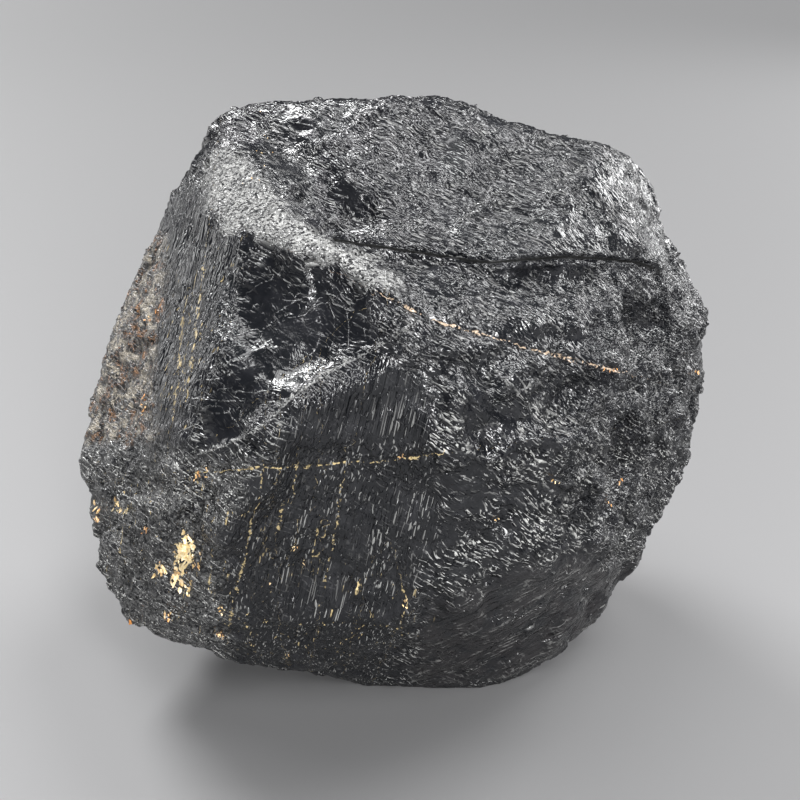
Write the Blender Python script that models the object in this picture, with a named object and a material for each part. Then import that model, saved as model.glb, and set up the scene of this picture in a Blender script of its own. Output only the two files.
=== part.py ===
"""Raw black tourmaline: one broken lump of schorl, resting on a small flat spot.

Run it with blender --background --python part.py, or from Blender's text editor.
Lengths below are millimetres. X runs to the right, Y away from the viewer and Z up.
The lump starts as two solid blocks, loses a few flakes, and then gets its rough broken skin.
"""

import math

import bmesh
import bpy
from mathutils import Matrix, Vector, noise

MM = 0.001
SKIN_GRAIN = 1.3        # edge length of the even mesh that the skin is roughened on
TRIANGLES = 8800        # how many of its triangles are kept
REST_GROUND = 0.6       # how much is worn off the underside, which leaves the flat resting spot

BLACK = (0.018, 0.018, 0.020, 1)
ROUGHNESS = 0.42
METALLIC = 0.0

# The crystal's long axis leans a little to the right. Its ribs run along it.
CRYSTAL_AXIS = Vector((0.22, 0.08, 0.97)).normalized()
RIB_PITCH = 5.0
RIB_HEIGHT = 1.1
CHIP_SIZE = 15
CHIP_SLOPE = 0.15
PATTERN_SEED = 11       # fixes where the chips fall

# The side that the cross fractures are placed on, which looks forward and a little up.
FRONT = Vector((0, -0.9, 0.43)).normalized()

# The lump's two blocks, each the convex shape that its corners span.
BODY = {
    "terrace back": (-38.5, 10, 131.5),
    "terrace left": (-40, -12, 121),
    "terrace left low": (-38, -22, 116.5),
    "terrace front": (-31, -31, 116.5),
    "terrace middle": (-18, -40, 115),
    "terrace right": (-11, -45, 112.5),
    "terrace tip": (-3, -48, 109),
    "left shoulder top": (-45, 12, 124),
    "left shoulder": (-52, 10, 113),
    "left shoulder low": (-54, 5, 105),
    "left face right": (-31, -44, 101),
    "left face low left": (-57, -20, 67),
    "left face low right": (-40, -49, 83),
    "crust top": (-59, 12, 99),
    "crust middle": (-69, 8, 76),
    "crust low": (-74, -3, 65),
    "left end": (-74, -13, 54),
    "left end low": (-71, -22, 31),
    "left foot": (-65, -25, 18),
    "left ledge": (-49, -47, 58),
    "left belly": (-44, -46, 36),
    "ridge middle": (-18, -58, 93),
    "ridge low": (-25, -58, 78),
    "nose": (-9, -56, 99),
    "front face left": (-36, -54, 60),
    "front face left low": (-36, -34, 15),
    "front face right": (5, -55, 74),
    "front face right low": (2, -46, 34),
    "front foot": (-16, -31, 9),
    "brow": (9, -47, 103),
    "brow middle": (22, -44, 101),
    "brow right": (36, -36, 98),
    "brow low": (9, -54, 90),
    "brow low middle": (24, -49, 88),
    "brow low right": (40, -39, 84),
    "cheek": (30, -48, 70),
    "cheek right": (51, -27, 68),
    "under edge": (27, -44, 47),
    "under edge right": (44, -30, 41),
    "under edge end": (57, -12, 31),
    "crack right": (52, -13, 101),
    "right shoulder": (68, 14, 91),
    "right end top": (74, 10, 81),
    "right end": (75, 8, 66),
    "right end low": (73, 5, 45),
    "right hip": (64, 0, 35),
    "right foot": (60, -6, 24),
    "right foot low": (51, -16, 14),
    "foot front right": (39, -24, 8),
    "rest front left": (-6, -26, 0),
    "rest front": (20, -27, 0),
    "rest front right": (31, -21, 0),
    "rest right": (39, 2, 0),
    "rest back right": (28, 24, 0),
    "rest back left": (-18, 24, 0),
    "rest left": (-27, -6, 0),
    "back left top": (-46, 36, 108),
    "back top": (-4, 50, 110),
    "back right top": (52, 44, 96),
    "back left": (-62, 36, 62),
    "back": (-14, 63, 60),
    "back right": (44, 58, 54),
    "back left low": (-44, 34, 20),
    "back low": (4, 46, 16),
    "back right low": (52, 30, 22),
}
SLAB = {
    "foot left": (-33, 2, 124),
    "foot middle left": (-28, -6, 119),
    "foot middle": (-18, -18, 114),
    "foot by the crack": (-6, -31, 111),
    "foot right": (20, -37, 110),
    "foot far right": (40, -24, 107),
    "foot end": (53, -13, 102),
    "crest left": (-36, 11, 132.4),
    "crest second": (-21, 3, 133.5),
    "crest third": (-4, 0, 135),
    "crest fourth": (11, 0, 133.5),
    "crest fifth": (26, -1, 129.6),
    "crest sixth": (43, -2, 126),
    "corner right": (56, 18, 117),
    "right middle": (62, 24, 100),
    "right low": (72, 20, 84),
    "back crest left": (-36, 30, 128),
    "back crest": (6, 34, 129),
    "back crest right": (42, 34, 116),
    "root left": (-40, 34, 90),
    "root right": (56, 34, 78),
}

# Dishes where rock has flaked off. Each has its place on the surface, the way it faces,
# the way it runs, and then its length, width and depth.
FLAKES = {
    "big flake": ((-13, -51, 104), (-0.3, -0.78, 0.54), (0.8, -0.5, -0.3), 36, 34, 6),
    "big flake left": ((-24, -47, 105), (-0.42, -0.72, 0.55), (0.5, -0.6, -0.6), 44, 28, 5.5),
    "big flake low": ((-27, -56, 91), (-0.35, -0.88, 0.3), (0.8, -0.4, 0.4), 34, 20, 4),
    "small flake": ((-38, -51, 84), (-0.6, -0.75, 0.3), (0.8, -0.6, 0), 14, 11, 2.5),
    "front hollow": ((-9, -54, 66), (0.05, -0.97, -0.22), (0.16, 0.2, 0.96), 74, 44, 4.5),
    "front hollow top": ((-6, -57, 84), (0.1, -0.98, 0.1), (0.7, 0, 0.7), 38, 26, 3),
    "slab hollow": ((12, -17, 123), (0.05, -0.6, 0.8), (1, 0, 0), 62, 40, 3.5),
    "slab dip": ((-10, -22, 116.5), (-0.2, -0.6, 0.78), (0.8, -0.4, 0), 22, 11, 1.4),
    "mica hollow": ((-40, -52, 60), (-0.5, -0.85, 0), (0, 0, 1), 16, 12, 3),
    "right dent": ((55, -15, 88), (0.5, -0.75, 0.4), (0.7, 0.6, -0.4), 28, 14, 3.5),
    "lower dent": ((36, -42, 84), (0.35, -0.9, 0.25), (1, 0.5, -0.3), 24, 15, 3),
    "side dent": ((50, -27, 62), (0.6, -0.8, 0), (-0.3, 0, 1), 30, 16, 3),
    "back flake": ((-20, 56, 88), (-0.1, 0.75, 0.65), (1, 0.1, 0), 60, 40, 7),
    "back flake low": ((34, 54, 44), (0.3, 0.9, -0.3), (0.7, -0.3, 0.5), 52, 36, 6),
    "left back flake": ((-66, 26, 66), (-0.9, 0.4, 0.1), (0.3, 0.9, 0), 34, 30, 4),
}

# Lines on the front of the lump, as the points they pass: first the two open cross fractures,
# then the raised rim below the big flake. Each has its half width and how far it stands out.
MAIN_CRACK = (
    (-12, -30, 114), (-4, -34, 112.5), (9, -36, 112), (19, -36, 111), (31, -30, 110), (41, -22, 107.5),
    (53, -11, 102),
)
LOWER_CRACK = ((-1, -48, 108), (9, -47, 104.5), (22, -45, 100), (33, -39, 96.5), (43, -31, 91.5))
FLAKE_RIM = ((-9, -56, 98), (-18, -57, 93), (-24, -58, 86), (-25.5, -57, 77), (-32, -55, 71), (-36, -54, 60))
LINES = {
    "main crack": (MAIN_CRACK, 2.4, -2.4),
    "lower crack": (LOWER_CRACK, 1.6, -1.6),
    "flake rim": (FLAKE_RIM, 4.5, 1.8),
}


def asObject(name, shape):
    mesh = bpy.data.meshes.new(name)
    shape.to_mesh(mesh)
    shape.free()
    thing = bpy.data.objects.new(name, mesh)
    bpy.context.scene.collection.objects.link(thing)
    return thing


def hullBlock(name, corners):
    shape = bmesh.new()
    for corner in corners.values():
        shape.verts.new(Vector(corner) * MM)
    made = bmesh.ops.convex_hull(shape, input=shape.verts)
    bmesh.ops.delete(shape, geom=made["geom_interior"], context="VERTS")
    bmesh.ops.recalc_face_normals(shape, faces=shape.faces)
    return asObject(name, shape)


def flakeBall(name, place, facing, along, length, width, depth):
    """The flattened ball that cuts a dish of this length, width and depth into the surface."""
    out = Vector(facing).normalized()
    side = out.cross(Vector(along)).normalized()
    along = side.cross(out)
    thickness = 2.2 * depth
    spread = 2 * math.sqrt(1 - (1 - depth / thickness) ** 2)
    radii = (length / spread, width / spread, thickness)
    turn = Matrix((along, side, out)).transposed().to_4x4()
    centre = Vector(place) + out * (thickness - depth)
    shape = bmesh.new()
    bmesh.ops.create_icosphere(shape, subdivisions=4, radius=1)
    shape.transform(Matrix.Scale(MM, 4) @ Matrix.Translation(centre) @ turn @ Matrix.Diagonal((*radii, 1)))
    return asObject(name, shape)


def combine(stone, other, operation):
    step = stone.modifiers.new(other.name, "BOOLEAN")
    step.operation = operation
    step.object = other
    step.solver = "EXACT"


def evenMesh(stone):
    step = stone.modifiers.new("even mesh", "REMESH")
    step.mode = "VOXEL"
    step.voxel_size = SKIN_GRAIN * MM
    step.adaptivity = 0


def applyModifiers(stone):
    graph = bpy.context.evaluated_depsgraph_get()
    mesh = bpy.data.meshes.new_from_object(stone.evaluated_get(graph))
    stone.modifiers.clear()
    stone.data = mesh


def smoothStep(low, high, value):
    t = min(1, max(0, (value - low) / (high - low)))
    return t * t * (3 - 2 * t)


def distanceToLine(point, line):
    """How far a point is from a line that is given as points in order."""
    nearest = math.inf
    for start, end in zip(line, line[1:]):
        leg = end - start
        t = min(1, max(0, (point - start).dot(leg) / leg.length_squared))
        nearest = min(nearest, (point - start - leg * t).length)
    return nearest


def seenFromFront(point):
    return point - FRONT * point.dot(FRONT)


def ribbed(point, facing):
    """How strongly the ribs show: they are clear on the left face and on the lower front face."""
    left = smoothStep(0.45, 0.75, facing.dot(Vector((-0.8, -0.55, 0.2)))) * smoothStep(60, 75, point.z)
    low = smoothStep(0.6, 0.85, facing.dot(Vector((-0.1, -0.95, -0.25)))) * smoothStep(14, -2, point.x)
    return max(left, low * smoothStep(95, 82, point.z))


def chipped(point, size, slope):
    """The height of flat chips of about this size, each tilted its own way, with steps between."""
    bent = point / size + noise.noise_vector(point / size * 1.7) * 0.22
    middle = noise.voronoi(bent)[1][0]
    tilt = noise.cell_vector(middle * 31.7) - Vector((0.5, 0.5, 0.5))
    return 2 * slope * size * (tilt.dot(bent - middle) + 0.25 * tilt.x)


def relief(point, facing):
    """How far the broken skin stands out from the plain blocks at a point."""
    ribs = ribbed(point, facing)
    across = point - CRYSTAL_AXIS * point.dot(CRYSTAL_AXIS) * 0.93
    ledge = smoothStep(0.5, 0.85, facing.z) * smoothStep(85, 100, point.z)
    rough = (1 - 0.8 * ribs) * (1 - 0.6 * ledge)
    height = 1.6 * noise.noise(point / 34)
    height += rough * chipped(point, CHIP_SIZE, CHIP_SLOPE)
    height += rough * 0.9 * noise.noise(point / 7 + Vector((7, 0, 3)))
    height += ribs * RIB_HEIGHT * noise.noise(across / RIB_PITCH)
    return height * (0.05 + 0.95 * smoothStep(1, 14, point.z))


def roughenSkin(stone):
    shape = bmesh.new()
    shape.from_mesh(stone.data)
    bmesh.ops.smooth_vert(shape, verts=shape.verts, factor=0.5, use_axis_x=True, use_axis_y=True, use_axis_z=True)
    shape.normal_update()
    lines = [([seenFromFront(Vector(p)) for p in line], width, height) for line, width, height in LINES.values()]
    moves = []
    for vertex in shape.verts:
        point = vertex.co / MM
        rise = relief(point, vertex.normal)
        if vertex.normal.dot(FRONT) > 0.1:
            for line, width, height in lines:
                away = distanceToLine(seenFromFront(point), line)
                rise += height * smoothStep(width, width * 0.3, away)
        moves.append(vertex.normal * rise * MM)
    for vertex, move in zip(shape.verts, moves):
        vertex.co += move
    shape.to_mesh(stone.data)
    shape.free()


def connected(start):
    """All the vertices that edges join to this one."""
    found = {start}
    waiting = [start]
    while waiting:
        vertex = waiting.pop()
        for edge in vertex.link_edges:
            other = edge.other_vert(vertex)
            if other not in found:
                found.add(other)
                waiting.append(other)
    return found


def keepOuterSkin(stone):
    """Drops the specks and bubbles that an even mesh leaves beside the skin."""
    shape = bmesh.new()
    shape.from_mesh(stone.data)
    outer = connected(max(shape.verts, key=lambda vertex: vertex.co.z))
    bmesh.ops.delete(shape, geom=[vertex for vertex in shape.verts if vertex not in outer], context="VERTS")
    shape.to_mesh(stone.data)
    shape.free()


def grindRest(stone):
    """Cuts the underside off level, which leaves the small flat spot that the lump rests on."""
    shape = bmesh.new()
    shape.from_mesh(stone.data)
    everything = shape.verts[:] + shape.edges[:] + shape.faces[:]
    level = Vector((0, 0, REST_GROUND * MM))
    bmesh.ops.bisect_plane(shape, geom=everything, dist=0.02 * MM, plane_co=level, plane_no=(0, 0, -1),
                           clear_outer=True)
    rim = [edge for edge in shape.edges if edge.is_boundary]
    bmesh.ops.contextual_create(shape, geom=rim)
    bmesh.ops.triangulate(shape, faces=shape.faces)
    shape.to_mesh(stone.data)
    shape.free()


def centreOnRest(stone):
    """Puts the origin under the middle of the lump's box, on the ground."""
    places = [vertex.co for vertex in stone.data.vertices]
    low = Vector([min(place[axis] for place in places) for axis in range(3)])
    high = Vector([max(place[axis] for place in places) for axis in range(3)])
    middle = (low + high) / 2
    stone.data.transform(Matrix.Translation((-middle.x, -middle.y, -low.z)))


def blackTourmaline():
    finish = bpy.data.materials.new("black tourmaline")
    finish.use_nodes = True
    shader = finish.node_tree.nodes["Principled BSDF"]
    shader.inputs["Base Color"].default_value = BLACK
    shader.inputs["Roughness"].default_value = ROUGHNESS
    shader.inputs["Metallic"].default_value = METALLIC
    return finish


noise.seed_set(PATTERN_SEED)
for old in list(bpy.data.objects):
    bpy.data.objects.remove(old)

tourmaline = hullBlock("tourmaline", BODY)
guides = [hullBlock("slab", SLAB)]
combine(tourmaline, guides[0], "UNION")
for flakeName, flake in FLAKES.items():
    guides.append(flakeBall(flakeName, *flake))
    combine(tourmaline, guides[-1], "DIFFERENCE")
evenMesh(tourmaline)
applyModifiers(tourmaline)
for guide in guides:
    bpy.data.objects.remove(guide)

roughenSkin(tourmaline)
evenMesh(tourmaline)
applyModifiers(tourmaline)
keepOuterSkin(tourmaline)
fewer = tourmaline.modifiers.new("fewer triangles", "DECIMATE")
fewer.ratio = TRIANGLES / (2 * len(tourmaline.data.polygons))
applyModifiers(tourmaline)

grindRest(tourmaline)
centreOnRest(tourmaline)
tourmaline.data.materials.append(blackTourmaline())
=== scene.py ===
import math
import random

import bmesh
import bpy
import numpy as np
from mathutils import Matrix, Vector, noise
from mathutils.bvhtree import BVHTree


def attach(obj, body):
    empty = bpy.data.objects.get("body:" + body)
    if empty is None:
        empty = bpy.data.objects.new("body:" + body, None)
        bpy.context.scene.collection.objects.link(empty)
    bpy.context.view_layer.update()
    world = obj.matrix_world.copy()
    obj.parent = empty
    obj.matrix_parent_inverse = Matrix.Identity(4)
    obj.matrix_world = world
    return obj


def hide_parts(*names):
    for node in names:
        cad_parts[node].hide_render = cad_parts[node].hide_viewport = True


# A raw black tourmaline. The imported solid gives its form. This adds the broken skin, the fine
# finish, the veins and the mica, and then the floor, lights and camera.
# Sizes and places on the stone are millimetres. What is in pixels or metres has a note.

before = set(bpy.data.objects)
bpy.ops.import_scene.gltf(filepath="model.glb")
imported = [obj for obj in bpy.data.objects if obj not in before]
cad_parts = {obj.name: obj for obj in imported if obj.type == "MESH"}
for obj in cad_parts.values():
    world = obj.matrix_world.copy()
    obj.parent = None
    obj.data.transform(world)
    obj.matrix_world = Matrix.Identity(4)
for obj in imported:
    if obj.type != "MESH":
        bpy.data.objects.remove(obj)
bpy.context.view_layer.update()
noise.seed_set(23)
mm = 0.001              # in metres

# How the stone is seen: the camera's place, how far it looks down, and the frame in pixels.
# Patches, veins and flakes below are placed by where they show in that frame.
camera = {
    "place": (-0.25, -228.0, 172.4),
    "lookDown": 25.5,
    "framePixels": 800,
    "focalPixels": 1050,
    "sensor": 36,
}
pixel = 0.235           # what one pixel covers on the stone, about


def smoothStep(low, high, value):
    t = np.clip((value - low) / (high - low), 0, 1)
    return t * t * (3 - 2 * t)


# Where things show in the frame.

def seenAt(points):
    tilt = math.radians(camera["lookDown"])
    offset = points - np.array(camera["place"])
    depth = offset[:, 1] * math.cos(tilt) - offset[:, 2] * math.sin(tilt)
    rise = offset[:, 1] * math.sin(tilt) + offset[:, 2] * math.cos(tilt)
    middle = camera["framePixels"] / 2
    shown = np.stack((offset[:, 0], -rise), axis=1) * camera["focalPixels"] / depth[:, None]
    return shown + middle


def lookThrough(x, y):
    tilt = math.radians(camera["lookDown"])
    right = (x - camera["framePixels"] / 2) / camera["focalPixels"]
    up = (camera["framePixels"] / 2 - y) / camera["focalPixels"]
    ahead = math.cos(tilt) + up * math.sin(tilt)
    climb = up * math.cos(tilt) - math.sin(tilt)
    return Vector((right, ahead, climb)).normalized()


def depthInside(spots, outline):        # pixels inside an outline, negative outside it
    corners = np.array(outline, float)
    nearest = np.full(len(spots), 1e9)
    inside = np.zeros(len(spots), bool)
    for start, end in zip(corners, np.roll(corners, -1, axis=0)):
        leg = end - start
        t = np.clip((spots - start) @ leg / (leg @ leg), 0, 1)
        nearest = np.minimum(nearest, np.linalg.norm(spots - start - t[:, None] * leg, axis=1))
        between = (start[1] > spots[:, 1]) != (end[1] > spots[:, 1])
        crossing = start[0] + (spots[:, 1] - start[1]) * leg[0] / (leg[1] if leg[1] else 1e-9)
        inside ^= between & (spots[:, 0] < crossing)
    return np.where(inside, nearest, -nearest)


def besideLine(spots, line):            # along and across a line, in pixels, across with its sign
    corners = np.array(line, float)
    best = np.full(len(spots), 1e9)
    along = np.zeros(len(spots))
    across = np.full(len(spots), 1e9)
    passed = 0
    for start, end in zip(corners[:-1], corners[1:]):
        leg = end - start
        length = np.linalg.norm(leg)
        leg = leg / length
        offset = spots - start
        t = np.clip(offset @ leg, 0, length)
        away = np.linalg.norm(offset - t[:, None] * leg, axis=1)
        side = np.sign(leg[0] * offset[:, 1] - leg[1] * offset[:, 0])
        closer = away < best
        best = np.where(closer, away, best)
        along = np.where(closer, passed + t, along)
        across = np.where(closer, away * side, across)
        passed += length
    return along, across


# The patches of skin: how far their edges blend, in pixels, and their outlines in the frame.

patches = {
    "slab": (10, ((225, 92), (300, 90), (380, 88), (500, 110), (600, 132), (655, 160), (672, 258), (560, 253),
                  (500, 258), (450, 252), (400, 246), (340, 236), (285, 200), (255, 165), (236, 125))),
    "terrace": (6, ((204, 172), (222, 148), (240, 158), (262, 184), (284, 208), (338, 244), (386, 264),
                    (400, 296), (366, 284), (340, 268), (290, 250), (240, 232), (216, 222), (202, 200))),
    "leftFace": (9, ((160, 180), (196, 190), (214, 232), (240, 236), (236, 320), (206, 400), (190, 450),
                     (150, 446), (148, 380), (162, 300))),
    "crust": (7, ((140, 225), (163, 240), (163, 300), (150, 380), (150, 440), (60, 440), (80, 360))),
    "scoop": (15, ((256, 262), (292, 280), (336, 296), (366, 314), (384, 342), (348, 358), (298, 388),
                   (266, 420), (240, 436), (206, 450), (210, 404), (240, 334))),
    "lowFace": (20, ((356, 370), (392, 352), (432, 400), (436, 520), (412, 620), (380, 690), (240, 665),
                     (226, 600), (216, 545), (236, 500), (262, 474), (276, 434), (304, 398))),
    "pits": (12, ((60, 440), (150, 446), (196, 455), (256, 462), (236, 500), (214, 545), (222, 600),
                  (236, 670), (60, 640))),
    "lumps": (25, ((590, 265), (680, 255), (740, 320), (720, 440), (640, 560), (600, 560), (560, 470),
                   (600, 380))),
    "scales": (20, ((428, 396), (520, 380), (600, 330), (690, 290), (712, 380), (690, 470), (640, 560),
                    (560, 570), (470, 560), (430, 480))),
    "lowFront": (30, ((250, 440), (400, 420), (500, 400), (640, 430), (720, 440), (720, 700), (60, 700),
                      (60, 440))),
    "underside": (22, ((420, 612), (470, 592), (540, 566), (600, 552), (660, 545), (620, 660), (400, 700))),
}

# Hollows and swells: where they show, how far they reach in pixels, and how high, below 0 for a hollow.
hollows = (
    ((595, 388), (34, 20), -2.08),
    ((512, 408), (30, 22), -1.69),
    ((615, 462), (30, 18), -1.69),
    ((640, 326), (26, 14), -1.43),
    ((490, 392), (20, 26), -1.04),
    ((560, 440), (44, 12), 1.69),
    ((640, 420), (20, 26), 1.17),
    ((470, 455), (40, 14), 1.04),
    ((560, 520), (40, 16), -1.30),
    ((602, 540), (30, 16), 1.17),
    ((670, 380), (18, 28), 1.30),
    ((455, 350), (36, 12), 0.91),
    ((352, 218), (30, 18), -1.17),
    ((278, 186), (9, 14), -1.04),
    ((302, 212), (16, 8), -1.30),
    ((334, 230), (18, 7), -1.43),
    ((180, 520), (26, 22), 1.30),
    ((150, 488), (22, 18), -1.43),
    ((205, 505), (20, 26), -1.30),
    ((140, 570), (20, 24), -1.30),
    ((120, 545), (16, 18), 1.30),
    ((215, 600), (18, 30), 0.91),
)

# Small facets that broke off clean and smooth.
cleanFacets = (
    ((200, 418), (226, 416), (238, 434), (214, 444), (196, 432)),
    ((440, 140), (462, 132), (472, 160), (456, 176), (440, 160)),
    ((634, 314), (652, 318), (666, 332), (658, 342), (636, 338)),
    ((284, 326), (312, 322), (322, 350), (300, 366), (280, 352)),
)

# The seams, as the points they pass in the frame.
seams = {
    "mainCrack": ((334, 240), (372, 246), (400, 250), (450, 257), (480, 262), (500, 262), (530, 259),
                  (560, 257), (600, 258), (640, 263), (652, 268)),
    "creamVein": ((392, 300), (410, 309), (430, 320), (462, 329), (495, 338), (520, 346), (560, 357),
                  (590, 364), (616, 371)),
    "rim": ((400, 334), (384, 345), (368, 353), (350, 362), (325, 376), (300, 392), (282, 408), (268, 424),
            (250, 436), (225, 446), (200, 455), (186, 460)),
    "goldVein": ((196, 473), (230, 470), (262, 468), (300, 467), (345, 463), (390, 461), (432, 455)),
}

# The raised lips of single steps, which catch the light, and which are painted pale as worn edges and a
# painted highlight.
lips = (
    ((196, 381), (215, 380), (228, 376), (238, 370), (250, 367)),
    ((196, 370), (212, 366), (228, 363), (246, 358)),
    ((190, 398), (206, 400), (226, 402), (242, 401)),
    ((200, 415), (220, 413), (229, 412), (236, 424), (241, 433)),
    ((182, 432), (194, 425), (206, 424)),
    ((240, 392), (255, 394), (262, 391), (276, 394)),
    ((256, 418), (270, 416), (286, 418)),
    ((240, 250), (252, 258), (262, 262), (275, 272), (284, 281), (296, 286)),
    ((250, 292), (258, 285), (270, 281)),
    ((283, 309), (295, 302), (308, 297), (320, 292), (334, 296)),
    ((290, 318), (304, 316), (310, 310), (318, 304), (330, 303), (345, 309), (360, 314), (372, 322)),
    ((244, 334), (252, 330), (262, 331), (270, 326)),
    ((262, 181), (280, 190), (300, 193), (318, 203), (330, 214)),
    ((302, 206), (314, 214), (321, 222)),
    ((440, 262), (460, 264), (478, 272), (495, 284), (508, 293), (522, 297)),
    ((560, 264), (580, 266), (592, 272), (604, 280), (616, 290)),
    ((618, 291), (640, 300), (655, 312), (669, 324)),
    ((582, 322), (592, 336), (605, 345), (617, 347), (624, 338)),
    ((512, 176), (522, 182), (535, 188), (550, 193), (562, 194)),
    ((546, 160), (562, 164), (577, 171), (592, 178)),
    ((276, 120), (300, 124), (322, 128), (346, 134)),
    ((390, 122), (408, 132), (422, 138)),
    ((456, 416), (470, 424), (486, 430)),
    ((520, 466), (534, 462), (548, 470)),
    ((640, 400), (652, 410), (660, 422)),
)

# Thin streaks of mica, and where its dust is thick.
goldStreaks = (
    ((262, 470), (260, 500), (252, 520), (245, 560), (233, 598), (230, 620)),
    ((345, 470), (340, 490), (337, 525), (333, 545), (326, 575), (322, 600)),
    ((318, 530), (312, 556)),
    ((282, 505), (278, 532)),
    ((296, 470), (292, 500)),
    ((404, 590), (408, 604), (400, 622)),
    ((186, 300), (180, 340), (178, 380), (172, 420)),
    ((204, 262), (196, 330), (186, 400)),
)
dustPatches = {
    "dustLow": (25, ((96, 470), (200, 470), (262, 520), (250, 640), (140, 620), (96, 560))),
    "dustFoot": (24, ((236, 570), (330, 560), (420, 580), (416, 640), (300, 660), (232, 650))),
    "dustFace": (14, ((172, 240), (240, 250), (222, 330), (196, 430), (158, 430), (160, 300))),
}

skin = {
    "grain": 0.66,                  # edge length of the even mesh that is roughened
    "quickGrain": 1.1,
    "triangles": 196000,            # kept at most
    "softenTimes": 5,               # takes the solid's facets out
    "restFlat": 1.2,                # below this height a face that looks down is pressed flat
    "flowStretch": 0.45,            # how far the breaks are drawn out along their flow, 1 without end
    "ribStretch": 0.96,             # the same for the ribs
    # how large the chips of the fresh breaks are, and how much of their tilt is kept
    "largeChips": (9, 0.1),
    "middleChips": (4.6, 0.13),
    "smallChips": (2.4, 0.1),
    "stepPitch": 5.6,               # the broad steps of the fresh breaks
    "stepHigh": 0.45,
    "stepHighOnScales": 0.65,       # added to the last
    "ribWide": 2.4,                 # the ribs along the crystal, and the fine ones between them
    "ribHigh": 0.42,
    "fineRibWide": 1.1,
    "fineRibHigh": 0.22,
    "arcPitch": 3.1,                # the arcs in the hollow
    "arcHigh": 0.22,
    "lumpWide": 4.2,                # the pits and lumps
    "lumpHigh": 1.5,
    "crustWide": 4,
    "crustHigh": 0.7,
    # seams: how far they reach beside their line, in pixels, and how high, below 0 for a groove
    "seams": {
        "mainCrack": (9, 1.0),
        "creamVein": (3.2, -0.7),
        "goldVein": (3, -0.35),
        "rim": (3.5, 0.6),
    },
    "crackCut": (3.2, -2.0),        # the open crack, cut into the main crack's swell
}
crystalAxis = Vector((0.22, 0.08, 0.97)).normalized()
flowAxis = Vector((0.82, -0.25, -0.51)).normalized()      # the way the splinters on the fresh breaks run
upRight = Vector((0.57, 0.35, 0.74))                      # the way the small steps face
slant = Vector((0.88, 0.1, 0.46)).normalized()            # the streaks on the underside
scoopFocus = (292, 330)                                   # where the big flake was struck from, in the frame


def evenCopy(node, size):
    shape = bmesh.new()
    shape.from_mesh(node.data)
    bmesh.ops.remove_doubles(shape, verts=shape.verts, dist=0.000001)
    mesh = bpy.data.meshes.new("tourmaline_skin")
    shape.to_mesh(mesh)
    shape.free()
    stone = bpy.data.objects.new("tourmaline_skin", mesh)
    bpy.context.scene.collection.objects.link(stone)
    even = stone.modifiers.new("even", "REMESH")
    even.mode = "VOXEL"
    even.voxel_size = size * mm
    even.adaptivity = 0
    return stone


def applyModifiers(thing):
    graph = bpy.context.evaluated_depsgraph_get()
    mesh = bpy.data.meshes.new_from_object(thing.evaluated_get(graph))
    thing.modifiers.clear()
    thing.data = mesh
    mesh.name = thing.name


def verticesOf(mesh):
    places = np.zeros(len(mesh.vertices) * 3, np.float32)
    mesh.vertices.foreach_get("co", places)
    normals = np.zeros(len(mesh.vertices) * 3, np.float32)
    mesh.vertex_normals.foreach_get("vector", normals)
    return places.reshape(-1, 3).astype(float) / mm, normals.reshape(-1, 3).astype(float)


def strayAt(place):                     # moves the edges of patches, in pixels
    return (noise.noise_vector(place / 6) * 9 + noise.noise_vector(place / 1.8) * 7)[:2]


def patchShares(places, normals):       # how much of each patch is at each vertex, 0 to 1
    toCamera = np.array(camera["place"]) - places
    toCamera /= np.linalg.norm(toCamera, axis=1)[:, None]
    facing = smoothStep(-0.05, 0.2, np.einsum("ij,ij->i", toCamera, normals))
    spots = seenAt(places)
    wobble = np.array([strayAt(Vector(place)) for place in places])
    shares = {name: smoothStep(-blend, blend, depthInside(spots + wobble, outline)) * facing
              for name, (blend, outline) in patches.items()}
    insideFacet = np.max([depthInside(spots + wobble * 0.4, outline) for outline in cleanFacets], axis=0)
    shares["clean"] = smoothStep(-2, 3, insideFacet) * facing
    shares["dust"] = facing * np.max([smoothStep(-blend, blend, depthInside(spots + wobble, outline))
                                      for blend, outline in dustPatches.values()], axis=0)
    return spots, facing, shares


def stretched(point, axis, share):      # squeezes a point along an axis, so a pattern there is stretched
    return point - axis * (point.dot(axis) * share)


def chips(point, size):                 # the height of flat chips, each with its own tilt
    bent = point / size + noise.noise_vector(point / size * 1.3) * 0.25
    middle = noise.voronoi(bent)[1][0]
    tilt = noise.cell_vector(middle * 31.7) - Vector((0.5, 0.5, 0.5))
    return (2 * tilt.dot(bent - middle) + 0.5 * tilt.x) * size


def scoopPoint(x, y):                   # a place around the focus of the hollow, z growing away from it
    away = math.hypot(x - scoopFocus[0], y - scoopFocus[1]) * pixel
    turn = math.atan2(y - scoopFocus[1], x - scoopFocus[0])
    return Vector((math.cos(turn) * 12, math.sin(turn) * 12, away))


def climbAt(point):                     # counts the broad steps, which face up and to the right
    flow = stretched(point, flowAxis, skin["flowStretch"])
    steps = point.dot(upRight) / skin["stepPitch"]
    return steps + 1.6 * noise.noise(flow / 7) + 0.5 * noise.noise(point / 2.5)


def smooth01(value):
    t = min(1, max(0, value))
    return t * t * (3 - 2 * t)


def sizedChips(point, name):
    size, share = skin[name]
    return share * chips(point, size)


def unevenAt(place):                    # makes the edges of seams and hollows uneven
    return 1.6 * noise.noise(place / 4) + noise.noise(place / 1.4)


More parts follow.
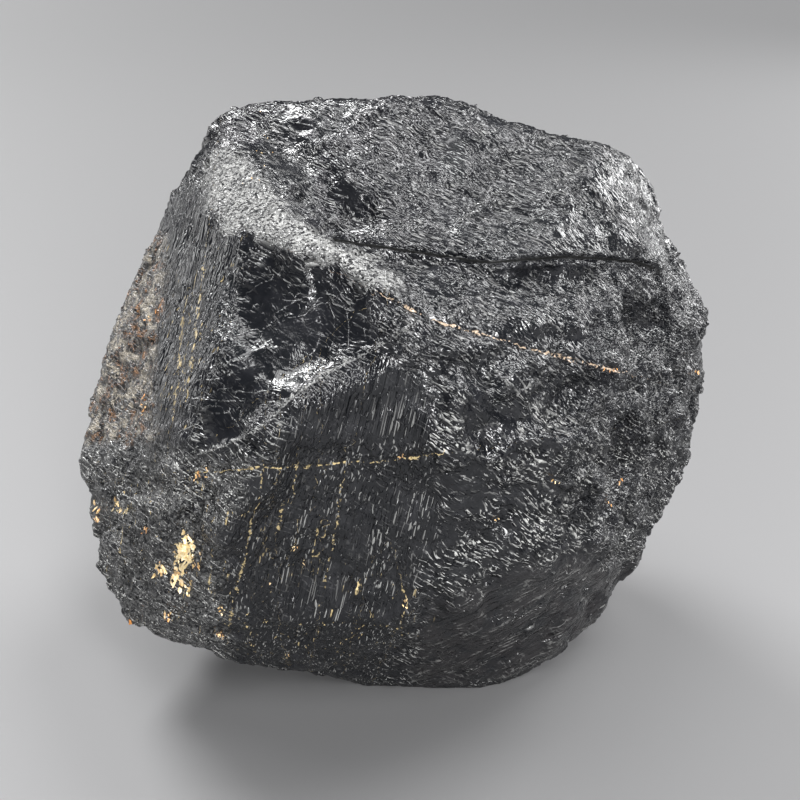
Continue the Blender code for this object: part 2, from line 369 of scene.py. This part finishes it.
def roughen(stone):                     # moves each vertex along its normal
    places, normals = verticesOf(stone.data)
    spots, facing, shares = patchShares(places, normals)
    count = len(places)
    rise = np.zeros(count)
    share = {name: list(values) for name, values in shares.items()}
    spotList = [tuple(spot) for spot in spots]
    for i in range(count):
        point = Vector(places[i])
        ribs = max(share["leftFace"][i], share["lowFace"][i])
        # how far the relief of a fresh break is held back here
        calm = max(ribs * 0.75, share["terrace"][i] * 0.8, share["underside"][i] * 0.6, share["clean"][i])
        bend = point + noise.noise_vector(point / 22) * 7
        flow = stretched(bend, flowAxis, skin["flowStretch"])
        fresh = sizedChips(flow, "largeChips") + sizedChips(bend, "middleChips")
        fresh += sizedChips(flow + Vector((31, 5, 9)), "smallChips")
        fresh *= 1 - 0.45 * share["slab"][i]
        step = (climbAt(point) % 1 - 0.5) * smooth01(0.5 + 1.6 * noise.noise(point / 9))
        fresh += (skin["stepHigh"] + skin["stepHighOnScales"] * share["scales"][i]) * step
        height = (1 - calm) * (1 - 0.6 * share["scoop"][i]) * fresh
        height += (1 - calm) * (1 - 0.7 * share["scoop"][i]) * 0.2 * noise.noise(point / 2.1)
        if ribs > 0.01:
            across = stretched(point, crystalAxis, skin["ribStretch"])
            height += ribs * skin["ribHigh"] * noise.noise(across / skin["ribWide"])
            height += ribs * skin["fineRibHigh"] * noise.noise(across / skin["fineRibWide"])
            height += ribs * 0.02 * chips(stretched(point, crystalAxis, 0.6), 6)
        if share["scoop"][i] > 0.01:
            fan = scoopPoint(*spotList[i])
            step = (fan.z / skin["arcPitch"] + 1.1 * noise.noise(point / 7)) % 1
            height += share["scoop"][i] * skin["arcHigh"] * (step - 0.5) * (0.5 + noise.noise(point / 5))
            height += share["scoop"][i] * 0.2 * noise.noise(Vector((fan.x / 1.6, fan.y / 1.6, fan.z / 9)))
        rough = max(share["pits"][i], share["lumps"][i])
        if rough > 0.01:
            lump = skin["lumpHigh"] * abs(noise.noise(point / skin["lumpWide"]))
            height += rough * (lump - 0.3 + 0.6 * abs(noise.noise(point / 2)))
        if share["crust"][i] > 0.01:
            lump = skin["crustHigh"] * noise.noise(point / skin["crustWide"])
            height += share["crust"][i] * (0.6 * noise.noise(point / 1.7) + lump)
        rise[i] = height
    stray = np.array([unevenAt(Vector(place)) for place in places])
    for name, (width, high) in skin["seams"].items():
        across = np.abs(besideLine(spots, seams[name])[1] + 2.5 * stray)
        rise += high * smoothStep(width, width * 0.3, across) * facing
    for (x, y), (reachX, reachY), high in hollows:
        away = np.hypot((spots[:, 0] - x) / reachX + 0.25 * stray, (spots[:, 1] - y) / reachY - 0.25 * stray)
        rise += high * smoothStep(1.2, 0.2, away) * facing
    width, high = skin["crackCut"]
    across = np.abs(besideLine(spots, seams["mainCrack"])[1] + 1.5 * stray)
    rise += high * smoothStep(width, width * 0.3, across) * facing
    rise *= smoothStep(0.2, 3, places[:, 2])
    moved = places + normals * rise[:, None]
    resting = (places[:, 2] < skin["restFlat"]) & (normals[:, 2] < -0.6)
    pressed = np.minimum(moved[:, 2], places[:, 2]) * 0.3
    moved[:, 2] = np.maximum(np.where(resting, pressed, moved[:, 2]), 0)
    stone.data.vertices.foreach_set("co", (moved * mm).astype(np.float32).ravel())
    stone.data.update()


def keepFloats(mesh, name, values):
    mesh.attributes.new(name, "FLOAT", "POINT").data.foreach_set("value", np.asarray(values, np.float32))


def keepVectors(mesh, name, values):
    mesh.attributes.new(name, "FLOAT_VECTOR", "POINT").data.foreach_set(
        "vector", np.asarray(values, np.float32).ravel())


def nearestLine(spots, lines):          # how far beside the nearest of some lines, with its sign
    away = np.array([besideLine(spots, line)[1] for line in lines])
    nearest = np.abs(away).argmin(axis=0)
    return np.clip(away[nearest, range(len(spots))], -30, 30) * pixel


def rememberPatches(mesh):              # keeps what the finish needs to know as attributes
    places, normals = verticesOf(mesh)
    spots, facing, shares = patchShares(places, normals)
    for name, values in shares.items():
        keepFloats(mesh, name, values)
    for name, line in seams.items():
        along, across = besideLine(spots, line)
        keepVectors(mesh, name, np.stack((along * pixel, across * pixel, facing), axis=1))
    keepFloats(mesh, "lip", nearestLine(spots, lips))
    keepFloats(mesh, "goldStreak", nearestLine(spots, goldStreaks))
    keepFloats(mesh, "front", facing)
    keepFloats(mesh, "climb", [climbAt(Vector(place)) for place in places])
    keepVectors(mesh, "fan", [scoopPoint(*spot) for spot in spots])


stone = evenCopy(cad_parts["tourmaline"], skin["grain"])
applyModifiers(stone)
soft = bmesh.new()
soft.from_mesh(stone.data)
for _ in range(skin["softenTimes"]):
    raisedVerts = [v for v in soft.verts if v.co.z > 0.5 * mm]
    bmesh.ops.smooth_vert(soft, verts=raisedVerts, factor=0.5,
                          use_axis_x=True, use_axis_y=True, use_axis_z=True)
soft.to_mesh(stone.data)
soft.free()
print("even mesh:", len(stone.data.vertices), "vertices")
roughen(stone)
print("skin roughened")
triangles = 2 * len(stone.data.polygons)        # the remeshed skin is all quads
if triangles > skin["triangles"]:
    fewer = stone.modifiers.new("fewer", "DECIMATE")
    fewer.ratio = skin["triangles"] / triangles
    applyModifiers(stone)
for polygon in stone.data.polygons:
    polygon.use_smooth = True
rememberPatches(stone.data)
print("skin finished:", len(stone.data.polygons), "faces")
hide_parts("tourmaline")
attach(stone, "root")


# Finishes.

class Wire:                      # a socket of a material; sums on it add Math nodes
    def __init__(self, tree, socket):
        self.tree = tree
        self.socket = socket

    def add(self, kind, settings, sockets, result=0):
        return addNode(self.tree, kind, settings, sockets, result)

    def math(self, operation, first, second=0.0):
        return self.add("ShaderNodeMath", {"operation": operation}, {0: first, 1: second})

    def __add__(self, other):
        return self.math("ADD", self, other)

    def __radd__(self, other):
        return self.math("ADD", other, self)

    def __sub__(self, other):
        return self.math("SUBTRACT", self, other)

    def __rsub__(self, other):
        return self.math("SUBTRACT", other, self)

    def __mul__(self, other):
        return self.math("MULTIPLY", self, other)

    def __rmul__(self, other):
        return self.math("MULTIPLY", other, self)

    def __truediv__(self, other):
        return self.math("DIVIDE", self, other)

    def __abs__(self):
        return self.math("ABSOLUTE", self)

    def atLeast(self, other):
        return self.math("MAXIMUM", self, other)

    def rising(self, low, high):      # 0 below low, 1 above high, smooth between
        return self.add("ShaderNodeMapRange", {"interpolation_type": "SMOOTHSTEP"},
                        {"Value": self, "From Min": low, "From Max": high})


def addNode(tree, kind, settings, sockets, result=0):
    node = tree.nodes.new(kind)
    for name, value in settings.items():
        setattr(node, name, value)
    for name, value in sockets.items():
        if isinstance(value, Wire):
            tree.links.new(value.socket, node.inputs[name])
        else:
            node.inputs[name].default_value = value
    return Wire(tree, node.outputs[result])


def newFinish(name):
    finish = bpy.data.materials.new(name)
    finish.use_nodes = True
    tree = finish.node_tree
    shader = tree.nodes["Principled BSDF"]
    return finish, tree, shader


def chooseAt(tree, share, first, second):      # a hard change from one place to another
    past = share.math("GREATER_THAN", share, 0.5)
    return addNode(tree, "ShaderNodeMix", {"data_type": "VECTOR"}, {0: past, 4: first, 5: second}, 1)


def joinTo(tree, wire, shader, socket):
    tree.links.new(wire.socket, shader.inputs[socket])


def attribute(tree, name, result="Fac"):
    return addNode(tree, "ShaderNodeAttribute", {"attribute_name": name}, {}, result)


def vectorMath(tree, operation, sockets, result="Vector"):
    return addNode(tree, "ShaderNodeVectorMath", {"operation": operation}, sockets, result)


def partOf(tree, vector, axis):
    return addNode(tree, "ShaderNodeSeparateXYZ", {}, {0: vector}, axis)


def pointOn(tree):                     # the place on the piece, in millimetres
    place = addNode(tree, "ShaderNodeTexCoord", {}, {}, "Object")
    return vectorMath(tree, "SCALE", {0: place, "Scale": 1 / mm})


def mixColours(tree, share, first, second):
    return addNode(tree, "ShaderNodeMix", {"data_type": "RGBA"}, {0: share, 6: first, 7: second}, 2)


def noiseAt(tree, point, size, detail=3, roughness=0.5):
    return addNode(tree, "ShaderNodeTexNoise", {},
                   {"Vector": point, "Scale": 1 / size, "Detail": detail, "Roughness": roughness}, "Fac")


def stretchedAt(tree, point, axis, share):      # does in a material what stretched does
    along = vectorMath(tree, "DOT_PRODUCT", {0: point, 1: axis}, "Value")
    part = vectorMath(tree, "SCALE", {0: tuple(axis), "Scale": along * share})
    return vectorMath(tree, "SUBTRACT", {0: point, 1: part})


def creasesAt(tree, point, size, detail=2):      # thin raised creases
    return size * (0.25 - abs(noiseAt(tree, point, size, detail, 0.6) - 0.5))


def ledgesAt(tree, point, towards, pitch, wander):      # small broken steps that face one way
    place = vectorMath(tree, "DOT_PRODUCT", {0: point, 1: tuple(Vector(towards) / pitch)}, "Value")
    place = place + wander * noiseAt(tree, point, 2.2 * pitch, 1, 0.6)
    return place.math("FRACT", place)


def facetsAt(tree, point, size):      # small flat chips, each with its own tilt and tone
    tint = addNode(tree, "ShaderNodeTexVoronoi", {}, {"Vector": point, "Scale": 1 / size}, "Color")
    middle = Wire(tree, tint.socket.node.outputs["Position"])
    tone = vectorMath(tree, "DOT_PRODUCT", {0: tint, 1: (1, 0, 0)}, "Value")
    tilt = vectorMath(tree, "SUBTRACT", {0: tint, 1: (0.5, 0.5, 0.5)})
    offset = vectorMath(tree, "SUBTRACT", {0: point, 1: middle})
    height = vectorMath(tree, "DOT_PRODUCT", {0: tilt, 1: offset}, "Value")
    return height, tone


black = {
    "deep": (0.005, 0.0055, 0.007, 1),
    "worn": (0.014, 0.0145, 0.017, 1),
    "brown": (0.026, 0.017, 0.012, 1),      # tints the underside
    "bruiseAndGlint": (0.24, 0.24, 0.236, 1),       # crushed edges, and painted glints on crests and slivers
    "glint": (0.6, 0.6, 0.58, 1),           # painted glints on the low front, paler because it gets less light
    "silverGrainsAndSheen": (0.42, 0.42, 0.41, 1),        # sugary grains of the terrace and the rim, with a painted sheen where they face the light
    "pale": (0.34, 0.30, 0.24, 1),          # the crust
    "rust": (0.24, 0.12, 0.05, 1),
    "cream": (0.58, 0.44, 0.32, 1),
    "gold": (0.60, 0.47, 0.24, 1),
    "shadeInCrack": (0.001, 0.001, 0.001, 1),       # painted shade down in the open crack
    "ior": 1.52,
    "polish": 0.09,                         # the roughness of the cleanest breaks, and what is added to it
    "patchyRough": 0.2,
    "terraceRough": 0.1,
    "crustRough": 0.12,
    "slabRough": 0.04,
    "drift": (4.5, -3.5, 4),                # how far the flow of the breaks wanders
    "wobble": 2.2,                          # how uneven the edges of veins, lips and patches are
    "chipSize": 0.4,
    "creaseSize": 1.8,
    "ribSize": 1.6,
    "slantSize": 2.4,                       # of the creases on the underside
    "splinterPitch": 1.3,
    "splinterWander": 1.8,
    "flowStretch": 0.5,                     # how far each pattern is drawn out, 1 without end
    "chipStretch": 0.8,
    "ribStretch": 0.975,
    "ribChipStretch": 0.965,
    "slantStretch": 0.88,
    "rimSlim": 0.35,                        # the rim's width at its ends, and what it gains midway
    "rimBroad": 0.75,
    "crackWidth": 0.42,                     # on each side of its line, and so are the next ones
    "streakWidth": 0.4,
    "veins": (("creamVein", 0.5, "cream"), ("goldVein", 0.34, "gold")),
    # how much of its colour shows, 0 to 1
    # the next four paint glints on crests and chip slivers, partly crushed edges; the second adds more where
    # the skin faces the camera
    "crestGlintAnywhere": 0.4,
    "crestGlintInFront": 0.45,                   # added to the last
    "ribGlint": 0.45,
    "slantGlint": 0.2,
    "lipWearAndHighlight": 0.5,
    "crustPowder": 0.4,
    "pitPowder": 0.35,
    "rimSheen": 0.55,
    "veinPaint": 0.85,
    "streakPaint": 0.6,
    # how high each kind of fine relief stands
    "freshCrease": 0.3,
    "freshSplinter": 0.25,
    "freshChip": 0.3,
    "ruggedCrease": 0.9,
    "ruggedSplinter": 0.35,
    "ruggedChip": 1.1,
    "ribCrease": 0.8,
    "ribChip": 0.8,
    "arc": 0.14,
    "slantCrease": 0.8,
    "slantChip": 0.3,
    "grain": 0.3,
    "lip": 0.3,
    "sugarChip": 1.2,
}


def tourmalineFinish():
    finish, tree, shader = newFinish("tourmaline")
    point = pointOn(tree)
    broad = noiseAt(tree, point, 8, 1)
    patchy = noiseAt(tree, point, 4, 3, 0.7)
    wobble = (noiseAt(tree, point, 2.2, 2, 0.65) - 0.5) * black["wobble"]

    # places stretched along the flow of the breaks, the ribs, the arcs and the streaks of the underside
    drift = vectorMath(tree, "SCALE", {0: black["drift"], "Scale": broad - 0.5})
    bend = vectorMath(tree, "ADD", {0: point, 1: drift})
    flow = stretchedAt(tree, bend, flowAxis, black["flowStretch"])
    ribPoint = stretchedAt(tree, point, crystalAxis, black["ribStretch"])
    slantPoint = stretchedAt(tree, bend, slant, black["slantStretch"])
    fan = vectorMath(tree, "MULTIPLY", {0: attribute(tree, "fan", "Vector"), 1: (1.5, 1.5, 0.3)})

    # which patch this is
    front = attribute(tree, "front")
    slab = attribute(tree, "slab")
    terrace = attribute(tree, "terrace")
    scoop = attribute(tree, "scoop")
    crust = attribute(tree, "crust")
    pits = attribute(tree, "pits")
    scales = attribute(tree, "scales")
    lowFront = attribute(tree, "lowFront")
    underside = attribute(tree, "underside")
    clean = attribute(tree, "clean")
    ribs = attribute(tree, "leftFace").atLeast(attribute(tree, "lowFace"))
    coarse = pits.atLeast(attribute(tree, "lumps")).atLeast(crust)
    calm = ribs.atLeast(underside)
    openBreak = (1 - 0.92 * calm) * (1 - 0.88 * scoop) * (1 - coarse)

    # the rim ridge, painted bright below as a highlight, sharp on its lower side and thickest midway
    rim = attribute(tree, "rim", "Vector")
    along = partOf(tree, rim, "X")
    ridge = partOf(tree, rim, "Y") + 0.4 * wobble
    thick = black["rimSlim"] + black["rimBroad"] * along.rising(6, 22) * along.rising(50, 30)
    ridge = ridge.rising(-0.15, 0.1) * ((ridge + 2 * wobble) / thick).rising(1.0, 0.5) * front
    sugary = terrace.atLeast(0.75 * ridge).atLeast(0.6 * crust)

    # small chips, which lie along the flow or the ribs, or every way where the stone is coarse
    strong = (0.65 * noiseAt(tree, flow, 2.2, 2, 0.7) + 0.5 * broad).rising(0.5, 0.66)
    flowChips = stretchedAt(tree, bend, flowAxis, black["chipStretch"])
    ribChips = stretchedAt(tree, point, crystalAxis, black["ribChipStretch"])
    chipPoint = chooseAt(tree, ribs + 0.25 * wobble, flowChips, ribChips)
    chipPoint = chooseAt(tree, sugary.atLeast(coarse) + 0.4 * wobble, chipPoint, point)
    chip, chipTone = facetsAt(tree, chipPoint, black["chipSize"])

    # the fine relief of each kind of surface
    splinters = ledgesAt(tree, flow, upRight, black["splinterPitch"], black["splinterWander"])
    creases = creasesAt(tree, flow, black["creaseSize"])
    fresh = black["freshCrease"] * creases + black["freshSplinter"] * splinters * strong
    fresh = fresh + chip * (black["freshChip"] + strong) * (1 - 0.1 * slab)
    rugged = black["ruggedCrease"] * creases + black["ruggedSplinter"] * splinters
    rugged = rugged + black["ruggedChip"] * chip
    ribCreases = creasesAt(tree, ribPoint, black["ribSize"])
    ribbed = black["ribCrease"] * ribCreases + black["ribChip"] * chip
    arcs = partOf(tree, fan, "Z") + 1.5 * broad
    arcs = arcs.math("FRACT", arcs)
    fanned = black["arc"] * arcs * strong + black["arc"] * creasesAt(tree, fan, 1.2, 1)
    slantCreases = creasesAt(tree, slantPoint, black["slantSize"], 1)
    slanted = black["slantCrease"] * slantCreases + black["slantChip"] * chip
    grains = chipTone.rising(0.93, 0.96) * strong
    lip = abs(attribute(tree, "lip") + 0.4 * wobble + 0.16 * chipTone).rising(0.22, 0.06)
    lip = lip * front * chipTone.rising(0.2, 0.7) * (0.4 + 0.6 * strong) * (1 - 0.4 * scoop)

    height = (fresh * openBreak + rugged * coarse + ribbed * ribs) * (1 - 0.6 * clean) + fanned * scoop
    height = height + underside * slanted
    height = height + black["grain"] * grains * (1 - ribs) * (1 - scoop)
    height = height + black["lip"] * lip + black["sugarChip"] * sugary * chip
    bump = addNode(tree, "ShaderNodeBump", {},
                   {"Strength": 1.0, "Distance": mm, "Filter Width": 1.0, "Height": height})

    # painted glints on crests and chip slivers, partly crushed edges, light from any side
    broken = openBreak.atLeast(coarse)
    sliverGlints = chipTone.rising(0.78, 0.82) * chip.rising(0.0, 0.03)
    crestWearAndGlints = splinters.rising(0.75, 1.0) * chipTone.rising(0.3, 0.6) * broken
    crestWearAndGlints = crestWearAndGlints.atLeast(sliverGlints * broken) * strong
    ribGroups = noiseAt(tree, ribPoint, 5, 2).rising(0.38, 0.56)
    crestWearAndGlints = crestWearAndGlints.atLeast(sliverGlints * black["ribGlint"] * ribs * ribGroups)
    slantStreaks = noiseAt(tree, slantPoint, 0.8, 1).rising(0.56, 0.66)
    crestWearAndGlints = crestWearAndGlints.atLeast(slantStreaks * underside * black["slantGlint"] * strong)
    # painted glints along the brinks of the broad steps on the scales
    climb = attribute(tree, "climb")
    brink = climb.math("FRACT", climb + 0.15 * wobble).rising(0.8, 0.97)
    brink = brink * front * scales * patchy.rising(0.4, 0.6)
    crestWearAndGlints = crestWearAndGlints.atLeast(brink * (0.2 + 0.8 * strong) * chipTone.rising(0.35, 0.8)) * (1 - 0.7 * clean)

    # from black to what is painted on it
    mottle = noiseAt(tree, point, 6, 3, 0.65)
    powder = noiseAt(tree, point, 0.9, 2, 0.75).rising(0.4, 0.62)
    colour = mixColours(tree, mottle.rising(0.4, 0.75), black["deep"], black["worn"])
    colour = mixColours(tree, 0.15 * underside * mottle.rising(0.35, 0.6), colour, black["brown"])
    # the colour of the painted glints, paler on the low front, where less light falls
    light = mixColours(tree, lowFront, black["bruiseAndGlint"], black["glint"])
    crestWearAndGlints = crestWearAndGlints * (black["crestGlintAnywhere"] + black["crestGlintInFront"] * front)
    colour = mixColours(tree, crestWearAndGlints, colour, light)
    # lips painted pale, partly worn edges and partly a painted highlight; the crust and the pits get their
    # own pale powder
    worn = (black["lipWearAndHighlight"] * lip).atLeast(black["crustPowder"] * crust * powder)
    worn = worn.atLeast(black["pitPowder"] * pits * powder)
    colour = mixColours(tree, worn, colour, black["bruiseAndGlint"])
    # the terrace and the rim painted silver: sugary grains, and a painted sheen where they face the light
    sugarAndSheen = (terrace * (0.5 + 0.5 * strong)).atLeast(black["rimSheen"] * ridge)
    colour = mixColours(tree, sugarAndSheen * chipTone.rising(0.1, 0.75), colour, black["silverGrainsAndSheen"])
    colour = mixColours(tree, crust * patchy.rising(0.5, 0.56) * (0.4 + 0.6 * powder), colour, black["pale"])
    colour = mixColours(tree, crust * patchy.rising(0.5, 0.38) * powder, colour, black["rust"])

    # veins, streaks and dust, broken up by a noise and of a width that changes
    gaps = noiseAt(tree, point, 1.0, 2, 0.7).rising(0.48, 0.56)
    spread = 0.3 + noiseAt(tree, point, 5, 2).rising(0.4, 0.65)
    for name, width, paint in black["veins"]:
        across = partOf(tree, attribute(tree, name, "Vector"), "Y")
        thin = (abs(across + 0.85 * wobble) / spread).rising(width, width * 0.4)
        colour = mixColours(tree, thin * gaps * front * black["veinPaint"], colour, black[paint])
    streak = (abs(attribute(tree, "goldStreak") + 0.8 * wobble) / spread).rising(black["streakWidth"], 0.15)
    specks = noiseAt(tree, ribPoint, 0.9, 2, 0.8).rising(0.64, 0.7) * patchy.rising(0.45, 0.6)
    gold = (black["streakPaint"] * (streak * gaps * front)).atLeast(specks * attribute(tree, "dust"))
    colour = mixColours(tree, gold, colour, black["gold"])
    # painted shade down in the main crack, where no light gets in
    crack = partOf(tree, attribute(tree, "mainCrack", "Vector"), "Y")
    crack = abs(crack + 0.35 * wobble).rising(black["crackWidth"], 0.2) * front
    colour = mixColours(tree, crack, colour, black["shadeInCrack"])

    rough = black["polish"] + black["patchyRough"] * patchy + black["terraceRough"] * terrace
    rough = rough + black["crustRough"] * crust + black["slabRough"] * slab + crack
    joinTo(tree, colour, shader, "Base Color")
    joinTo(tree, rough, shader, "Roughness")
    joinTo(tree, bump, shader, "Normal")
    shader.inputs["IOR"].default_value = black["ior"]
    return finish


stone.data.materials.clear()
stone.data.materials.append(tourmalineFinish())
print("tourmaline finished")


# The mica, as small plates grown into the skin.

mica = {
    # where a group shows and how far it spreads in the frame, how many plates, how wide they are,
    # and how gold (0) or rusty (1)
    "groups": (
        ((185, 550), (7, 16), 60, 2.8, 0.0),
        ((178, 574), (6, 12), 20, 2.4, 0.15),
        ((160, 570), (10, 5), 12, 2.2, 0.25),
        ((188, 590), (4, 8), 10, 1.4, 0.15),
        ((196, 566), (5, 5), 8, 1.2, 0.3),
        ((182, 562), (20, 26), 22, 0.8, 0.3),
        ((118, 503), (5, 10), 12, 1.9, 0.15),
        ((97, 513), (5, 11), 8, 1.7, 0.55),
        ((145, 528), (4, 6), 5, 1.5, 0.7),
        ((100, 585), (3, 6), 4, 1.4, 0.4),
        ((131, 620), (3, 7), 4, 1.5, 0.9),
        ((168, 613), (4, 5), 6, 1.5, 0.6),
        ((222, 612), (5, 5), 5, 1.1, 0.3),
        ((220, 636), (6, 8), 8, 1.3, 0.45),
        ((200, 474), (16, 9), 9, 1.3, 0.5),
        ((292, 547), (8, 3), 4, 1.0, 0.2),
        ((305, 563), (3, 3), 2, 0.9, 0.3),
        ((270, 583), (4, 3), 2, 0.9, 0.2),
        ((290, 655), (3, 4), 2, 1.0, 0.4),
        ((405, 603), (4, 5), 4, 1.0, 0.25),
        ((620, 482), (5, 4), 5, 1.3, 0.7),
        ((609, 505), (4, 4), 3, 1.1, 0.6),
        ((553, 483), (7, 3), 3, 0.9, 0.4),
        ((495, 520), (5, 4), 3, 0.9, 0.2),
        ((697, 372), (2, 5), 3, 1.2, 0.8),
        ((610, 370), (8, 3), 5, 0.9, 0.8),
        ((405, 457), (9, 3), 5, 0.8, 0.6),
        ((143, 405), (4, 14), 8, 1.2, 0.75),
        ((150, 318), (6, 14), 6, 1.1, 0.8),
        ((258, 150), (16, 34), 10, 0.5, 0.35),
    ),
    "thick": 0.12,
    "sink": 0.075,                  # how far below the skin a plate starts
    "slim": (0.2, 0.5),             # how narrow it is beside its length
    "corners": (5, 6, 6, 7),
    "turn": 85,                     # degrees, and how far it strays
    "stray": 24,
    "lean": 0.4,                    # how far it tips from the skin
    "pale": (0.9, 0.8, 0.55, 1),
    "honey": (0.66, 0.48, 0.2, 1),
    "rusty": (0.55, 0.22, 0.05, 1),
    "metallic": 0.35,
    "ior": 1.6,
}


def addPlate(shape, middle, facing, wide, rusty, chance):
    turn = facing.to_track_quat("Z", "Y").to_matrix().to_4x4()
    along = math.radians(chance.gauss(mica["turn"], mica["stray"]))
    place = Matrix.Translation(middle) @ turn @ Matrix.Rotation(along, 4, "Z")
    segments = chance.choice(mica["corners"])
    ring = bmesh.ops.create_circle(shape, cap_ends=True, segments=segments, radius=wide / 2)["verts"]
    slim = chance.uniform(*mica["slim"])
    for corner in ring:
        corner.co.x *= chance.uniform(0.75, 1.2)
        corner.co.y = corner.co.y * slim * chance.uniform(0.8, 1.2)
    base = list({face for corner in ring for face in corner.link_faces})
    raised = bmesh.ops.extrude_face_region(shape, geom=base)["geom"]
    top = [v for v in raised if isinstance(v, bmesh.types.BMVert)]
    for corner in top:
        corner.co.z += mica["thick"] * chance.uniform(0.7, 1.3)
    both = ring + top
    bmesh.ops.transform(shape, matrix=place, verts=both)
    layer = shape.verts.layers.float["rusty"]
    for corner in both:
        corner[layer] = rusty


def micaPlates(stone):
    chance = random.Random(41)
    places, normals = verticesOf(stone.data)
    corners = [polygon.vertices[:] for polygon in stone.data.polygons]
    tree = BVHTree.FromPolygons([Vector(place) for place in places], corners)
    eye = Vector(camera["place"])
    shape = bmesh.new()
    shape.verts.layers.float.new("rusty")
    for (x, y), (reachX, reachY), count, wide, rusty in mica["groups"]:
        for _ in range(count):
            sight = lookThrough(x + chance.gauss(0, reachX / 2), y + chance.gauss(0, reachY / 2))
            hit, normal = tree.ray_cast(eye, sight)[:2]
            if hit is None:
                continue
            if normal.dot(sight) > 0:
                normal = -normal
            lean = Vector([chance.gauss(middle, mica["lean"]) for middle in (0, -0.1, 0.35)])
            facing = (normal + lean).normalized()
            tint = min(1, max(0, rusty + chance.gauss(0, 0.15)))
            size = wide * chance.uniform(0.5, 1.1)
            addPlate(shape, hit - normal * mica["sink"], facing, size, tint, chance)
    bmesh.ops.scale(shape, vec=(mm, mm, mm), verts=shape.verts)
    bmesh.ops.recalc_face_normals(shape, faces=shape.faces)
    mesh = bpy.data.meshes.new("mica_flakes")
    shape.to_mesh(mesh)
    shape.free()
    flakes = bpy.data.objects.new("mica_flakes", mesh)
    bpy.context.scene.collection.objects.link(flakes)
    return flakes


def micaFinish():
    finish, tree, shader = newFinish("mica")
    sheets = noiseAt(tree, pointOn(tree), 0.8, 4, 0.7)
    bright = mixColours(tree, sheets.rising(0.35, 0.65), mica["pale"], mica["honey"])
    colour = mixColours(tree, attribute(tree, "rusty"), bright, mica["rusty"])
    bump = addNode(tree, "ShaderNodeBump", {}, {"Strength": 0.6, "Distance": mm, "Height": 0.3 * sheets})
    joinTo(tree, colour, shader, "Base Color")
    joinTo(tree, 0.22 + 0.35 * sheets, shader, "Roughness")
    joinTo(tree, bump, shader, "Normal")
    shader.inputs["Metallic"].default_value = mica["metallic"]
    shader.inputs["IOR"].default_value = mica["ior"]
    return finish


flakes = micaPlates(stone)
flakes.data.materials.append(micaFinish())
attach(flakes, "root")
print("mica finished:", len(flakes.data.polygons), "faces")


# Floor, lights and camera, in metres.
studio = {
    "floorSize": 3.0,
    "floorColour": (0.148, 0.148, 0.15, 1),
    "floorRough": 0.6,
    "ambientColour": (0.9, 0.93, 1, 1),
    "ambient": 0.08,
    # the side that each comes from, how wide it is in degrees, and its strength
    "suns": {
        "behind": ((-0.55, 0.68, 0.95), 22, 3.7),
        "overhead": ((0.4, 0.22, 0.9), 24, 2.25),
        "topLeft": ((-0.2, 0.1, 0.97), 28, 1.4),
    },
    # where each stands, what it looks at, its size, and its watts
    "panels": {
        "right": ((1.0, 0.62, 0.38), (0, 0, 0.08), (0.6, 0.5), 12),
        "left": ((-1.0, 0.45, 0.25), (0, 0, 0.08), (0.5, 0.5), 2.9),
        "front": ((0.3, -0.62, 0.88), (0, 0, 0.08), (0.25, 0.6), 9),
        "frontLow": ((0.25, -1.1, 0.42), (0, 0, 0.06), (0.4, 0.3), 16),
    },
}


def paleFloor():
    shape = bmesh.new()
    bmesh.ops.create_grid(shape, x_segments=1, y_segments=1, size=studio["floorSize"])
    mesh = bpy.data.meshes.new("floor")
    shape.to_mesh(mesh)
    shape.free()
    floor = bpy.data.objects.new("floor", mesh)
    bpy.context.scene.collection.objects.link(floor)
    finish, tree, shader = newFinish("floor")
    shader.inputs["Base Color"].default_value = studio["floorColour"]
    shader.inputs["Roughness"].default_value = studio["floorRough"]
    mesh.materials.append(finish)
    return floor


def addLamp(name, light, towards):      # a lamp that looks along a direction
    lamp = bpy.data.objects.new(name, light)
    bpy.context.scene.collection.objects.link(lamp)
    lamp.rotation_euler = towards.to_track_quat("-Z", "Y").to_euler()
    return lamp


def softPanel(name, place, aim, size, power):
    light = bpy.data.lights.new(name, "AREA")
    light.shape = "RECTANGLE"
    light.size, light.size_y = size
    light.energy = power
    lamp = addLamp(name, light, Vector(aim) - Vector(place))
    lamp.location = place


def wideSun(name, side, spread, strength):
    light = bpy.data.lights.new(name, "SUN")
    light.angle = math.radians(spread)
    light.energy = strength
    addLamp(name, light, -Vector(side))


paleFloor()
for name, sun in studio["suns"].items():
    wideSun(name, *sun)
for name, panel in studio["panels"].items():
    softPanel(name, *panel)

world = bpy.data.worlds.new("studio")
bpy.context.scene.world = world
world.use_nodes = True
sky = world.node_tree.nodes["Background"]
sky.inputs["Color"].default_value = studio["ambientColour"]
sky.inputs["Strength"].default_value = studio["ambient"]

eye = bpy.data.objects.new("camera", bpy.data.cameras.new("camera"))
bpy.context.scene.collection.objects.link(eye)
eye.location = Vector(camera["place"]) * mm
eye.rotation_euler = (math.radians(90 - camera["lookDown"]), 0, 0)
eye.data.sensor_width = camera["sensor"]
eye.data.lens = camera["sensor"] * camera["focalPixels"] / camera["framePixels"]
eye.data.clip_start = 0.01
bpy.context.scene.camera = eye
bpy.context.scene.view_settings.view_transform = "Standard"
print("studio set")
